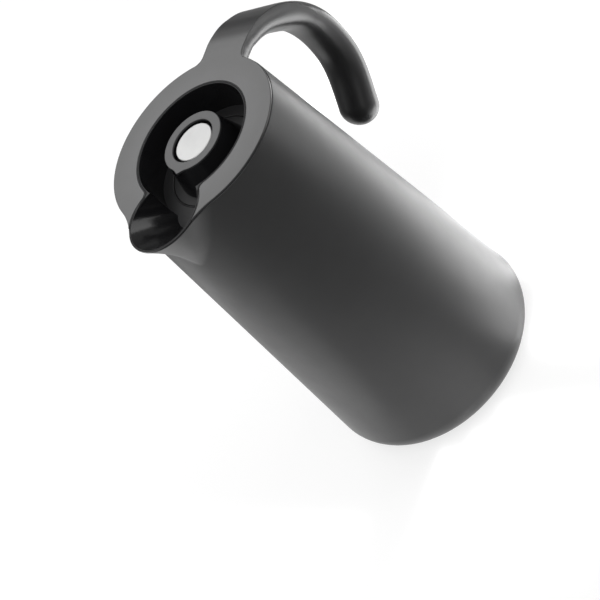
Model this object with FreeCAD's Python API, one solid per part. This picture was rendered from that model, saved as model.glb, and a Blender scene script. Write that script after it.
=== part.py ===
import FreeCAD, Part
import math
import os

# Vacuum carafe with a lofted hook handle, an open pouring spout and a push-button stopper.
# Millimetres. Origin: centre of the base on the vessel axis, on the surface it stands on.
# +Z runs up the vessel, the spout points to -X and the handle to +X.

os.makedirs("parts", exist_ok=True)
Vector = FreeCAD.Vector

# Casing
body_height = 222.5
body_top_radius = 50.8
body_base_radius = 65.2
base_edge_radius = 14.8
shell_wall = 2.4
ledge_bore_gap = 2.5
ledge_thickness = 2.0
ledge_drop = 14.4

# Spout and the beak that carries it
spout_reach = 66.2
spout_radius = 22.2
spout_blend_radius = 40.0
beak_drop = 34.0
beak_foot_radius = 9.0

# Base
foot_height = 1.2
foot_ring_width = 3.6
foot_ring_seat_depth = 0.9
foot_ring_margin = 0.6
base_collar_wall = 2.4
base_collar_height = 12.0
base_cover_thickness = 2.4
base_dish_radius = 26.0
base_dish_depth = 5.0
grip_bar_width = 8.0

# Flask
flask_casing_gap = 1.42
flask_wall = 1.5
vacuum_gap = 3.0
flask_bottom_radius = 20.0
flask_shoulder_drop = 20.0
flask_shoulder_radius = 16.0
flask_neck_step = 2.1
flask_neck_gap = 1.5
flask_neck_height = 8.0
flask_lip_thickness = 1.6
nib_radius = 3.2
nib_gap = 1.4
spacer_height = 12.0
spacer_level = 52.0
spacer_angle = 26.0
spacer_count = 3

# Cushion under the flask and gasket on its mouth
cushion_height = 5.4
cushion_inner_radius = 9.0
cushion_outer_radius = 24.0
cushion_groove_depth = 1.2
gasket_thickness = 1.5
gasket_skirt = 7.0
gasket_wall = 1.5
gasket_bore_margin = 0.3

# Pouring collar
moat_depth = 20.0
moat_floor_width = 9.4
collar_wall = 1.1
collar_floor = 2.0
collar_top_drop = 0.25
collar_flange_thickness = 1.5
collar_tube_wall = 2.8
collar_tube_length = 14.1
trough_wall = 1.5
trough_rim = 1.0
trough_foot_radius = 13.8
trough_foot_inset = 7.0
mouth_corner_radius = 4.0

# Handle: ring, neck and hook in one moulding
rim_height = 1.0
rim_gap = 0.3
rim_inset = 0.2
ring_width = 16.6
ring_thickness = 2.4
arm_overlap = 0.5
boss_radius = 4.0
neck_depth = 12.0
neck_half_width = 13.8
neck_length = 5.4
neck_blend_radius = 6.0
hook_reach = 51.6
hook_drop = 96.7
hook_thickness = 18.0
hook_width = 27.2
hook_tip_length = 11.0

# Screws that clamp casing ledge, collar flange and handle ring together
screw_radius = 1.5
screw_head_radius = 2.8
screw_head_height = 2.0
screw_grip = 6.0
screw_angles = (32.0, 78.0, 124.0)

# Stopper
moat_width = 16.05
stopper_ring_width = 5.15
stopper_ring_drop = 1.3
stopper_ring_thickness = 2.0
stopper_skirt_depth = 3.2
stopper_cap_wall = 1.1
stopper_tab_length = 2.15
stopper_tab_angle = 172.0
stopper_wall = 2.0
stopper_seat_width = 2.2
stopper_flange_thickness = 2.6
stopper_plug_gap = 0.9
stopper_plug_length = 20.9
stopper_step_length = 12.0
stopper_shoulder = 2.0
window_count = 4
window_angle = 52.0
window_height = 6.0
window_sill = 1.2
flange_gasket_thickness = 1.2
flange_gasket_width = 2.0

# Push button and valve
button_gap = 1.3
button_drop = 2.36
button_sheet = 0.6
button_skirt = 4.2
button_travel = 4.0
plunger_wall = 1.4
plunger_roof = 2.4
plunger_length = 11.0
plunger_flange_thickness = 1.5
rod_radius = 2.6
guide_wall = 1.8
guide_stop_gap = 0.3
guide_ring_height = 3.0
guide_ring_width = 2.0
guide_rib_width = 2.0
guide_rib_count = 3
valve_seat_height = 3.0
valve_seat_land = 3.6
valve_spigot_wall = 1.4
valve_disc_margin = 1.3
valve_disc_thickness = 2.4
valve_seal_width = 4.2
valve_seal_thickness = 1.2
clip_radius = 5.0
clip_thickness = 0.9
rod_end_length = 0.8
spring_wire = 1.3
spring_turns = 5
spring_gap = 1.65

# Clearances
seat_clearance = 0.15
moving_clearance = 0.4
running_clearance = 0.06
contact_gap = 0.1
overrun = 5.0

# Shares chosen by hand
beak_level_shares = (0.0, 0.2, 0.4, 0.6, 0.8, 0.93, 1.0)
beak_curve_share = 1.5
# Hook stations: reach, drop, half thickness, half width, crease height, corner fullness
hook_station_shares = (
    (0.000, 0.000, 0.333, 0.507, 1.00, 1.30),
    (0.095, 0.000, 0.328, 0.511, 0.89, 1.26),
    (0.207, 0.009, 0.375, 0.512, 0.66, 1.19),
    (0.406, 0.050, 0.411, 0.507, 0.40, 1.13),
    (0.572, 0.117, 0.408, 0.504, 0.22, 1.09),
    (0.722, 0.199, 0.414, 0.500, 0.10, 1.06),
    (0.860, 0.287, 0.424, 0.492, 0.02, 1.06),
    (0.957, 0.391, 0.456, 0.474, 0.00, 1.06),
    (1.000, 0.501, 0.488, 0.456, 0.00, 1.04),
    (1.000, 0.614, 0.500, 0.449, 0.00, 1.04),
    (0.960, 0.728, 0.506, 0.448, 0.00, 1.04),
    (0.874, 0.831, 0.514, 0.445, 0.00, 1.04),
    (0.757, 0.924, 0.530, 0.438, 0.00, 1.02),
    (0.652, 1.000, 0.544, 0.433, 0.00, 1.00),
)
tip_dome_shares = (0.3, 0.55, 0.75, 0.9, 0.97, 0.995)
crown_lean_share = 0.5

# Counts, and the angle below which a spout has sunk into the round body
hook_steps = 24
spring_sides = 6
spring_steps = 12
merged_spread = 1.6

# Levels and radii that follow
top_z = body_height
shell_top_z = top_z - rim_height - rim_gap
ring_radius = body_top_radius - rim_inset
moat_radius = ring_radius - ring_width
collar_bore_radius = moat_radius - moat_floor_width
trough_foot_reach = moat_radius - trough_foot_inset
spout_centre = spout_reach - spout_radius
beak_foot_z = shell_top_z - beak_drop
ledge_top_z = top_z - ledge_drop
flange_top_z = ledge_top_z + collar_flange_thickness
moat_floor_z = top_z - moat_depth
collar_top_z = top_z - collar_top_drop
collar_outer_radius = moat_radius + collar_wall
mouth_radius = collar_outer_radius + seat_clearance
mouth_end_radius = spout_radius + arm_overlap


def side_radius(z):
    """Outer radius of the straight tapered casing at a height."""
    return body_base_radius + (body_top_radius - body_base_radius) * z / body_height


def disc(radius, z_low, z_high):
    return Part.makeCylinder(radius, z_high - z_low, Vector(0, 0, z_low))


def ring(inner, outer, z_low, z_high):
    return disc(outer, z_low, z_high).cut(disc(inner, z_low - overrun, z_high + overrun))


def revolved(corners):
    """Solid of revolution about the vessel axis from (radius, height, corner radius) corners."""
    corners = [tuple(corner) + (0,) * (3 - len(corner)) for corner in corners]
    points = [Vector(r, 0, z) for r, z, bend in corners]
    ends = []
    edges = []
    for i, (r, z, bend) in enumerate(corners):
        before = (points[i] - points[i - 1]).normalize()
        after = (points[(i + 1) % len(points)] - points[i]).normalize()
        half_turn = before.getAngle(after) / 2
        leg = bend * math.tan(half_turn)
        start = points[i] - before * leg
        end = points[i] + after * leg
        ends.append((start, end))
        if bend > 0:
            inward = (after - before).normalize()
            middle = points[i] + inward * (bend / math.cos(half_turn) - bend)
            edges.append(Part.Arc(start, middle, end).toShape())
    for i in range(len(ends)):
        edges.append(Part.makeLine(ends[i - 1][1], ends[i][0]))
    wire = Part.Wire(Part.sortEdges(edges)[0])
    return Part.Face(wire).revolve(Vector(0, 0, 0), Vector(0, 0, 1), 360)


def turned(shape, angle):
    copy = shape.copy()
    copy.rotate(Vector(0, 0, 0), Vector(0, 0, 1), angle)
    return copy


def save(name, shape):
    shape.exportStep("parts/" + name + ".step")


def one_solid(shape):
    """The single solid inside a boolean result."""
    shape = shape.removeSplitter()
    return shape.Solids[0] if len(shape.Solids) == 1 else shape


def polar(radius, angle, z):
    return Vector(radius * math.cos(angle), radius * math.sin(angle), z)


def keyhole_wire(radius, centre, end_radius, blend_radius, z):
    """Plan outline: a round body and a round spout toward -X, joined by two concave blends."""
    reach = radius + blend_radius
    end_reach = end_radius + blend_radius
    cosine = (centre ** 2 + reach ** 2 - end_reach ** 2) / (2 * centre * reach)
    spread = math.acos(min(cosine, 1))
    merged = math.radians(merged_spread)
    if spread > merged:
        blend = polar(reach, math.pi - spread, z)
        spout = Vector(-centre, 0, z)
        body_point = polar(radius, math.pi - spread, z)
        spout_point = spout + (blend - spout).normalize() * end_radius
        middle = ((body_point + spout_point) * 0.5 - blend).normalize()
        blend_point = blend + middle * blend_radius
        tip = Vector(-centre - end_radius, 0, z)
    else:
        body_point = polar(radius, math.pi - merged, z)
        blend_point = polar(radius, math.pi - merged * 2 / 3, z)
        spout_point = polar(radius, math.pi - merged / 3, z)
        tip = Vector(-radius, 0, z)
    back = Vector(radius, 0, z)
    side = (math.pi - math.atan2(body_point.y, -body_point.x)) / 2

    def mirrored(point):
        return Vector(point.x, -point.y, point.z)

    edges = [
        Part.Arc(back, polar(radius, side, z), body_point),
        Part.Arc(body_point, blend_point, spout_point),
        Part.Arc(spout_point, tip, mirrored(spout_point)),
        Part.Arc(mirrored(spout_point), mirrored(blend_point), mirrored(body_point)),
        Part.Arc(mirrored(body_point), polar(radius, -side, z), back),
    ]
    return Part.Wire([edge.toShape() for edge in edges])


def keyhole(radius, centre, end_radius, blend_radius, z_low, z_high):
    face = Part.Face(keyhole_wire(radius, centre, end_radius, blend_radius, z_low))
    return face.extrude(Vector(0, 0, z_high - z_low))


def beak_wire(z, inset):
    """Plan outline of the casing at a height in the beak, drawn in by an inset."""
    share = (shell_top_z - z) / beak_drop
    radius = side_radius(z)
    proud = spout_reach - side_radius(shell_top_z)
    tip = radius + proud * (1 - share) ** beak_curve_share
    end = spout_radius + (beak_foot_radius - spout_radius) * share
    return keyhole_wire(radius - inset, tip - end, end - inset, spout_blend_radius + inset, z)


def casing_form(inset):
    """The casing's filled form, drawn in by an inset all round, up to the shell's top edge."""
    floor_z = foot_height + inset
    foot_r = side_radius(beak_foot_z) - inset
    cone = revolved([
        (0, floor_z), (side_radius(floor_z) - inset, floor_z, base_edge_radius - inset),
        (foot_r, beak_foot_z), (0, beak_foot_z),
    ])
    wires = [beak_wire(shell_top_z - beak_drop * share, inset) for share in beak_level_shares]
    form = cone.fuse(Part.makeLoft(wires, True, True))
    if inset > 0:
        form = form.fuse(Part.Face(wires[0]).extrude(Vector(0, 0, overrun)))
    return form


def tilted_cone(top_radius, top_x, top_z_level, low_radius, low_x, low_z_level):
    """Oblique cone between two level circles whose centres lie on the mid-plane."""
    top = Part.Wire([Part.makeCircle(top_radius, Vector(top_x, 0, top_z_level))])
    low = Part.Wire([Part.makeCircle(low_radius, Vector(low_x, 0, low_z_level))])
    return Part.makeLoft([low, top], True, True)


def trough_form(lip_grow, foot_grow, low_level, high_level):
    """The spout's bowl from the moat floor up to the lip; the grows move its wall outward."""
    height = collar_top_z - moat_floor_z
    lip_radius = spout_radius - trough_rim + lip_grow
    foot_radius = trough_foot_radius + foot_grow
    slope = (lip_radius - foot_radius) / height
    lean = (spout_centre - trough_foot_reach) / height
    low = low_level - moat_floor_z
    high = high_level - moat_floor_z
    return tilted_cone(
        foot_radius + slope * high, -trough_foot_reach - lean * high, high_level,
        foot_radius + slope * low, -trough_foot_reach - lean * low, low_level,
    )


# Levels and radii of the collar, flask and base
stopper_flange_radius = collar_bore_radius + stopper_seat_width
counterbore_radius = stopper_flange_radius + moving_clearance
stopper_flange_z = moat_floor_z - stopper_flange_thickness
collar_seat_z = stopper_flange_z - flange_gasket_thickness - contact_gap
collar_tube_z = collar_seat_z - collar_tube_length
collar_tube_radius = collar_bore_radius + collar_tube_wall
flask_top_z = collar_tube_z - gasket_thickness
flask_joint_z = flask_top_z - flask_lip_thickness
flask_neck_z = flask_top_z - flask_neck_height
flask_shoulder_z = flask_neck_z - flask_shoulder_drop
flask_radius = side_radius(flask_shoulder_z) - shell_wall - flask_casing_gap
flask_neck_radius = collar_bore_radius - flask_neck_step
inner_neck_radius = flask_neck_radius + flask_wall
outer_neck_radius = inner_neck_radius + flask_neck_gap + flask_wall
inner_bottle_radius = flask_radius - flask_wall - vacuum_gap
base_flat_radius = body_base_radius - base_edge_radius - foot_ring_margin
base_opening_radius = base_flat_radius - foot_ring_width - base_collar_wall
dish_roof_z = foot_height + base_dish_depth + base_cover_thickness
flask_low_z = dish_roof_z + cushion_height
screw_circle = (collar_outer_radius + side_radius(ledge_top_z) - shell_wall) / 2
neck_end_x = ring_radius + neck_length
neck_axis_z = top_z - neck_depth / 2


def collar_envelope(clearance):
    """Everything the collar fills near the rim, used to clear its neighbours."""
    low = moat_floor_z - trough_wall - clearance
    bowl = trough_form(trough_rim + clearance, trough_wall + clearance, low, top_z + overrun)
    return bowl.fuse(disc(collar_outer_radius + clearance, low, top_z + overrun))


def screw_places():
    for angle in screw_angles:
        for side in (1, -1):
            yield polar(screw_circle, math.radians(side * angle), 0)


def upright(radius, z_low, z_high, place):
    return Part.makeCylinder(radius, z_high - z_low, Vector(place.x, place.y, z_low))


def hook_section(middle, along, sizes):
    """Closed section of the hook: a crown above the crease line and a full belly below it."""
    half_thickness, half_width, crease_share, corner_share = sizes
    outward = Vector(-along.z, 0, along.x)
    crease = middle + outward * (half_thickness * crease_share)
    centre_share = (8 - 4 * corner_share) / 3

    def edge(side, lean):
        height = half_thickness * (1 - side * crease_share)
        shape = ((1, 0), (1 - lean, corner_share), (0, centre_share), (lean - 1, corner_share), (-1, 0))
        poles = []
        for across, rise in shape:
            offset = Vector(0, side * half_width * across, 0)
            poles.append(crease + outward * (side * height * rise) + offset)
        if height == 0:
            return Part.makeLine(poles[0], poles[-1])
        curve = Part.BezierCurve()
        curve.setPoles(poles)
        return curve.toShape()

    return Part.Wire([edge(1, crease_share * crown_lean_share), edge(-1, 0)])


def hook_stations():
    """Place, direction and section sizes at even steps down the hook's centreline."""
    start = Vector(neck_end_x, 0, neck_axis_z)
    places = [start + Vector(hook_reach * row[0], 0, -hook_drop * row[1]) for row in hook_station_shares]
    spine = Part.BSplineCurve()
    spine.interpolate(
        Points=places, InitialTangent=Vector(1, 0, 0), FinalTangent=places[-1] - places[-2])
    marks = [spine.parameter(place) for place in places]
    for i in range(hook_steps + 1):
        at = marks[0] + (marks[-1] - marks[0]) * i / hook_steps
        k = max(j for j in range(len(marks) - 1) if marks[j] <= at)
        mix = (at - marks[k]) / (marks[k + 1] - marks[k])
        pairs = zip(hook_station_shares[k][2:], hook_station_shares[k + 1][2:])
        thickness, width, crease, corner = [low + (high - low) * mix for low, high in pairs]
        sizes = (hook_thickness * thickness, hook_width * width, crease, corner)
        if i == 0:
            sizes = (neck_depth / 2, neck_half_width, crease, corner)
        yield spine.value(at), spine.tangent(at)[0], sizes


def hook_form():
    wires = []
    for place, along, sizes in hook_stations():
        wires.append(hook_section(place, along, sizes))
    thickness, width, crease, corner = sizes
    for share in tip_dome_shares:
        shrink = math.sqrt(1 - share ** 2)
        middle = place + along * (hook_tip_length * share)
        wires.append(hook_section(middle, along, (thickness * shrink, width * shrink, crease, corner)))
    return Part.makeLoft(wires, True, True)


def neck_prism(clearance, x_low, x_high):
    """Straight run of the neck's section, through the notch in the casing's rim."""
    sizes = (neck_depth / 2 + clearance, neck_half_width + clearance) + hook_station_shares[0][4:]
    wire = hook_section(Vector(x_low, 0, neck_axis_z), Vector(1, 0, 0), sizes)
    return Part.Face(wire).extrude(Vector(x_high - x_low, 0, 0))


def neck_flare():
    """Plan blends from the ring's thin edge into the neck."""
    blend = neck_blend_radius
    centre_x = math.sqrt((ring_radius + blend) ** 2 - (neck_half_width + blend) ** 2)
    z = top_z - rim_height
    wires = []
    for side in (1, -1):
        centre = Vector(centre_x, side * (neck_half_width + blend), z)
        on_ring = centre * (ring_radius / (ring_radius + blend))
        on_ring.z = z
        on_neck = Vector(centre_x, side * neck_half_width, z)
        middle = centre + ((on_ring + on_neck) * 0.5 - centre).normalize() * blend
        wires.append((on_ring, middle, on_neck))
    (ring_a, middle_a, neck_a), (ring_b, middle_b, neck_b) = wires
    wire = Part.Wire([
        Part.Arc(ring_a, middle_a, neck_a).toShape(),
        Part.makeLine(neck_a, neck_b),
        Part.Arc(neck_b, middle_b, ring_b).toShape(),
        Part.makeLine(ring_b, ring_a),
    ])
    return Part.Face(wire).extrude(Vector(0, 0, rim_height))


def outer_shell():
    shell = casing_form(0).cut(casing_form(shell_wall))
    wall_radius = side_radius(ledge_top_z) - shell_wall
    ledge_bore_radius = collar_outer_radius + ledge_bore_gap
    ledge = ring(
        ledge_bore_radius, wall_radius + shell_wall / 2,
        ledge_top_z - ledge_thickness, ledge_top_z)
    collar_top = foot_height + base_collar_height
    base_collar = ring(
        base_opening_radius, base_opening_radius + base_collar_wall,
        foot_height + shell_wall / 2, collar_top)
    shell = shell.fuse([ledge, base_collar])
    seat_inner = base_opening_radius + base_collar_wall
    cuts = [
        disc(base_opening_radius, foot_height - overrun, collar_top),
        ring(seat_inner, seat_inner + foot_ring_width,
             foot_height - overrun, foot_height + foot_ring_seat_depth),
        neck_prism(seat_clearance, ledge_bore_radius, neck_end_x),
        collar_envelope(seat_clearance),
    ]
    clear_radius = screw_radius + seat_clearance
    for place in screw_places():
        cuts.append(upright(clear_radius, ledge_top_z - overrun, ledge_top_z + overrun / 2, place))
    return one_solid(shell.cut(cuts))


def handle_frame():
    mouth = keyhole(
        mouth_radius, spout_centre, mouth_end_radius, mouth_corner_radius - seat_clearance,
        top_z - neck_depth - overrun, top_z + overrun)
    plate = keyhole(
        ring_radius, spout_centre, spout_radius, spout_blend_radius, top_z - rim_height, top_z)
    underside = top_z - ring_thickness
    body = Part.Face(beak_wire(underside, shell_wall + seat_clearance))
    body = body.extrude(Vector(0, 0, top_z - rim_height - underside))
    body = body.cut(collar_envelope(seat_clearance))
    bosses = [upright(boss_radius, flange_top_z, underside, p) for p in screw_places()]
    neck = neck_prism(0, mouth_radius + collar_wall, neck_end_x)
    frame = plate.fuse([body, neck, neck_flare(), hook_form()] + bosses).cut(mouth)
    screw_top = flange_top_z + screw_grip
    holes = [upright(screw_radius, flange_top_z - overrun, screw_top, p) for p in screw_places()]
    return one_solid(frame.cut(holes))


def pour_collar():
    cup_radius = counterbore_radius + collar_floor
    flange_radius = side_radius(flange_top_z) - shell_wall - 2 * seat_clearance
    body = revolved([
        (collar_bore_radius, collar_tube_z),
        (collar_tube_radius, collar_tube_z),
        (collar_tube_radius, collar_seat_z - collar_floor),
        (cup_radius, collar_seat_z - collar_floor),
        (cup_radius, moat_floor_z - collar_floor),
        (collar_outer_radius, moat_floor_z - collar_floor),
        (collar_outer_radius, ledge_top_z),
        (flange_radius, ledge_top_z),
        (flange_radius, flange_top_z),
        (collar_outer_radius, flange_top_z),
        (collar_outer_radius, collar_top_z),
        (collar_bore_radius, collar_top_z),
    ])
    rim = keyhole(
        collar_outer_radius, spout_centre, mouth_end_radius - seat_clearance, mouth_corner_radius,
        top_z - rim_height, collar_top_z)
    outline = keyhole(
        ring_radius, spout_centre, spout_radius, spout_blend_radius, top_z - rim_height, collar_top_z)
    bowl = trough_form(trough_rim, trough_wall, moat_floor_z - trough_wall, collar_top_z)
    body = body.fuse([rim.common(outline), bowl])
    cuts = [
        disc(moat_radius, moat_floor_z, top_z + overrun),
        disc(counterbore_radius, collar_seat_z, top_z),
        disc(collar_bore_radius, collar_tube_z - overrun, top_z),
        trough_form(0, 0, moat_floor_z, top_z + overrun),
    ]
    for place in screw_places():
        cuts.append(upright(screw_radius + seat_clearance, ledge_top_z - overrun, top_z, place))
    return one_solid(body.cut(cuts))


def collar_screws():
    head_z = ledge_top_z - ledge_thickness
    screws = []
    for place in screw_places():
        head = upright(screw_head_radius, head_z - screw_head_height, head_z, place)
        shank = upright(screw_radius, head_z, flange_top_z + screw_grip - contact_gap, place)
        screws.append(head.fuse(shank))
    return Part.makeCompound(screws)


def bottle(radius, neck_radius, low_z, high_z, edge_radius, shoulder_radius):
    """Filled bottle form: rounded foot, sloping shoulder and a straight neck."""
    return revolved([
        (0, low_z), (radius, low_z, edge_radius), (radius, flask_shoulder_z, shoulder_radius),
        (neck_radius, flask_neck_z), (neck_radius, high_z), (0, high_z),
    ])


def flask_outer_bottle():
    low = flask_low_z
    nib_length = cushion_height - nib_gap
    outside = bottle(
        flask_radius, outer_neck_radius, low, flask_joint_z,
        flask_bottom_radius, flask_shoulder_radius)
    inside = bottle(
        flask_radius - flask_wall, outer_neck_radius - flask_wall, low + flask_wall,
        flask_joint_z + overrun, flask_bottom_radius - flask_wall, flask_shoulder_radius - flask_wall)
    nib = Part.makeCone(
        nib_radius / 2, nib_radius, nib_length + flask_wall, Vector(0, 0, low - nib_length))
    return one_solid(outside.cut(inside).fuse(nib))


def flask_inner_bottle():
    low = flask_low_z + flask_wall + vacuum_gap
    edge = flask_bottom_radius - flask_wall - vacuum_gap
    shoulder = flask_shoulder_radius - flask_wall - vacuum_gap
    outside = bottle(inner_bottle_radius, inner_neck_radius, low, flask_joint_z, edge, shoulder)
    lip = disc(outer_neck_radius, flask_joint_z, flask_top_z)
    inside = bottle(
        inner_bottle_radius - flask_wall, flask_neck_radius, low + flask_wall,
        flask_top_z + overrun, edge - flask_wall, shoulder - flask_wall)
    return one_solid(outside.fuse(lip).cut(inside))


def flask_spacers():
    band = ring(
        inner_bottle_radius, flask_radius - flask_wall, spacer_level, spacer_level + spacer_height)
    wedge = Part.makeCylinder(
        flask_radius, spacer_height, Vector(0, 0, spacer_level), Vector(0, 0, 1), spacer_angle)
    pad = band.common(wedge)
    return Part.makeCompound([turned(pad, 360 * i / spacer_count) for i in range(spacer_count)])


def neck_gasket():
    bore = flask_neck_radius + gasket_bore_margin
    inner = outer_neck_radius
    outer = outer_neck_radius + gasket_wall
    return revolved([
        (bore, flask_top_z), (inner, flask_top_z), (inner, flask_top_z - gasket_skirt),
        (outer, flask_top_z - gasket_skirt), (outer, collar_tube_z), (bore, collar_tube_z),
    ])


def flask_cushion():
    groove = (cushion_outer_radius - cushion_inner_radius) / 4
    middle = (cushion_outer_radius + cushion_inner_radius) / 2
    pad = ring(cushion_inner_radius, cushion_outer_radius, dish_roof_z, flask_low_z)
    channel = ring(
        middle - groove / 2, middle + groove / 2,
        flask_low_z - cushion_groove_depth, flask_low_z + overrun)
    return one_solid(pad.cut(channel))


def base_cover():
    outer = base_opening_radius - seat_clearance
    skirt = outer - base_cover_thickness
    plate_top = foot_height + base_cover_thickness
    roof = foot_height + base_dish_depth
    dish_wall = base_dish_radius + base_cover_thickness
    collar_top = foot_height + base_collar_height
    cover = revolved([
        (0, roof), (base_dish_radius, roof), (base_dish_radius, foot_height),
        (outer, foot_height), (outer, collar_top), (skirt, collar_top), (skirt, plate_top),
        (dish_wall, plate_top), (dish_wall, dish_roof_z), (0, dish_roof_z),
    ])
    bar = Part.makeBox(
        2 * base_dish_radius, grip_bar_width, base_dish_depth,
        Vector(-base_dish_radius, -grip_bar_width / 2, foot_height))
    bar = bar.common(disc(base_dish_radius, foot_height, roof))
    return one_solid(cover.fuse(bar))


def foot_ring():
    inner = base_opening_radius + base_collar_wall
    return ring(inner, inner + foot_ring_width, 0, foot_height + foot_ring_seat_depth)


# Levels and radii of the stopper and its valve
stopper_top_z = top_z - stopper_ring_drop
stopper_ring_radius = moat_radius - moat_width
stopper_hole_radius = stopper_ring_radius - stopper_ring_width
stopper_plug_radius = flask_neck_radius - stopper_plug_gap
column_top_z = stopper_top_z - stopper_ring_thickness
column_radius = stopper_ring_radius - stopper_cap_wall
column_bore_radius = column_radius - stopper_wall
upper_plug_radius = collar_bore_radius - moving_clearance
plug_bore_radius = stopper_plug_radius - stopper_wall
plug_step_z = stopper_flange_z - stopper_step_length
plug_end_z = stopper_flange_z - stopper_plug_length
guide_top_z = stopper_flange_z - stopper_shoulder
guide_low_z = guide_top_z - guide_ring_height
valve_seat_z = plug_end_z - valve_seat_height
valve_seal_top_z = valve_seat_z - contact_gap
valve_seal_low_z = valve_seal_top_z - valve_seal_thickness
valve_disc_low_z = valve_seal_low_z - valve_disc_thickness
clip_low_z = valve_disc_low_z - clip_thickness
rod_low_z = clip_low_z - rod_end_length
valve_disc_radius = stopper_plug_radius - valve_disc_margin
button_radius = stopper_hole_radius - button_gap
button_top_z = top_z - button_drop
plunger_top_z = button_top_z - button_sheet
plunger_roof_z = plunger_top_z - plunger_roof
plunger_radius = button_radius - button_sheet
plunger_low_z = plunger_top_z - plunger_length
plunger_bore_radius = plunger_radius - plunger_wall
plunger_hub_low_z = plunger_low_z + plunger_wall
guide_hub_top_z = plunger_hub_low_z - button_travel - guide_stop_gap
spring_radius = plunger_bore_radius - spring_wire / 2 - spring_gap


def stopper_cap():
    cap = revolved([
        (stopper_hole_radius, stopper_top_z), (stopper_ring_radius, stopper_top_z),
        (stopper_ring_radius, stopper_top_z - stopper_skirt_depth),
        (column_radius, stopper_top_z - stopper_skirt_depth),
        (column_radius, column_top_z), (stopper_hole_radius, column_top_z),
    ])
    point = math.radians(stopper_tab_angle)
    tab_reach = stopper_ring_radius + stopper_tab_length
    spread = math.acos(stopper_ring_radius / tab_reach)
    corners = [
        polar(stopper_hole_radius, point, column_top_z),
        polar(stopper_ring_radius, point - spread, column_top_z),
        polar(tab_reach, point, column_top_z),
        polar(stopper_ring_radius, point + spread, column_top_z),
    ]
    nose = Part.Face(Part.makePolygon(corners + corners[:1]))
    nose = nose.extrude(Vector(0, 0, stopper_ring_thickness))
    return one_solid(cap.fuse(nose.cut(disc(stopper_hole_radius, column_top_z, stopper_top_z))))


def stopper_body():
    shoulder_radius = plug_bore_radius - stopper_wall
    body = revolved([
        (column_bore_radius, column_top_z), (column_radius, column_top_z),
        (column_radius, moat_floor_z), (stopper_flange_radius, moat_floor_z),
        (stopper_flange_radius, stopper_flange_z), (upper_plug_radius, stopper_flange_z),
        (upper_plug_radius, plug_step_z), (stopper_plug_radius, plug_step_z),
        (stopper_plug_radius, plug_end_z), (plug_bore_radius, plug_end_z),
        (plug_bore_radius, guide_top_z), (shoulder_radius, guide_top_z),
        (column_bore_radius, stopper_flange_z),
    ])
    low = moat_floor_z + window_sill
    sector = Part.makeCylinder(
        stopper_ring_radius, window_height, Vector(0, 0, low), Vector(0, 0, 1), window_angle)
    start = 180 - window_angle / 2
    windows = [turned(sector, start + 360 * i / window_count) for i in range(window_count)]
    return one_solid(body.cut(windows))


def flange_gasket():
    inner = upper_plug_radius + contact_gap
    return ring(
        inner, inner + flange_gasket_width,
        collar_seat_z + contact_gap, stopper_flange_z)


def valve_guide():
    outer = plug_bore_radius - contact_gap
    hub_radius = rod_radius + running_clearance + guide_wall
    rim = ring(outer - guide_ring_width, outer, guide_low_z, guide_top_z)
    hub = disc(hub_radius, guide_low_z, guide_hub_top_z)
    ribs = []
    for i in range(guide_rib_count):
        rib = Part.makeBox(
            outer - guide_ring_width / 2, guide_rib_width, guide_ring_height,
            Vector(0, -guide_rib_width / 2, guide_low_z))
        ribs.append(turned(rib, 360 * i / guide_rib_count))
    bore = disc(rod_radius + running_clearance, guide_low_z - overrun, guide_hub_top_z + overrun)
    return one_solid(rim.fuse([hub] + ribs).cut(bore))


def valve_seat():
    spigot = plug_bore_radius - contact_gap
    bore = spigot - valve_spigot_wall
    return revolved([
        (stopper_plug_radius - valve_seat_land, valve_seat_z), (stopper_plug_radius, valve_seat_z),
        (stopper_plug_radius, plug_end_z), (spigot, plug_end_z), (spigot, guide_low_z),
        (bore, guide_low_z), (bore, plug_end_z),
        (stopper_plug_radius - valve_seat_land, plug_end_z),
    ])


def return_spring():
    """Compression coil from the guide's ribs to the plunger's roof, with closed flat ends."""
    wire = spring_wire / 2
    low = guide_top_z + wire
    rise = plunger_roof_z - guide_top_z - spring_wire
    count = spring_turns * spring_steps
    sections = []
    for i in range(count + 1):
        angle = 2 * math.pi * i / spring_steps
        centre = polar(spring_radius, angle, low + rise * i / count)
        outward = polar(1, angle, 0)
        corners = []
        for k in range(spring_sides):
            turn = 2 * math.pi * k / spring_sides
            corners.append(
                centre + outward * (wire * math.cos(turn)) + Vector(0, 0, wire * math.sin(turn)))
        sections.append(Part.makePolygon(corners + corners[:1]))
    return Part.makeLoft(sections, True, True)


def push_button():
    inner = button_radius - button_sheet
    return revolved([
        (0, button_top_z), (button_radius, button_top_z),
        (button_radius, button_top_z - button_skirt), (inner, button_top_z - button_skirt),
        (inner, plunger_top_z), (0, plunger_top_z),
    ])


def button_plunger():
    hub = rod_radius + guide_wall
    flange_z = button_top_z - button_skirt - contact_gap
    flange_radius = column_bore_radius - moving_clearance
    return revolved([
        (0, plunger_top_z), (plunger_radius, plunger_top_z), (plunger_radius, flange_z),
        (flange_radius, flange_z), (flange_radius, flange_z - plunger_flange_thickness),
        (plunger_radius, flange_z - plunger_flange_thickness), (plunger_radius, plunger_low_z),
        (plunger_bore_radius, plunger_low_z), (plunger_bore_radius, plunger_roof_z),
        (hub, plunger_roof_z), (hub, plunger_hub_low_z),
        (rod_radius, plunger_hub_low_z), (rod_radius, plunger_roof_z), (0, plunger_roof_z),
    ])


def valve_rod():
    return disc(rod_radius, rod_low_z, plunger_roof_z)


def valve_disc():
    return ring(rod_radius, valve_disc_radius, valve_disc_low_z, valve_seal_low_z)


def valve_seal():
    return ring(
        valve_disc_radius - valve_seal_width, valve_disc_radius, valve_seal_low_z, valve_seal_top_z)


def rod_clip():
    return ring(rod_radius, clip_radius, clip_low_z, valve_disc_low_z)


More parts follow.
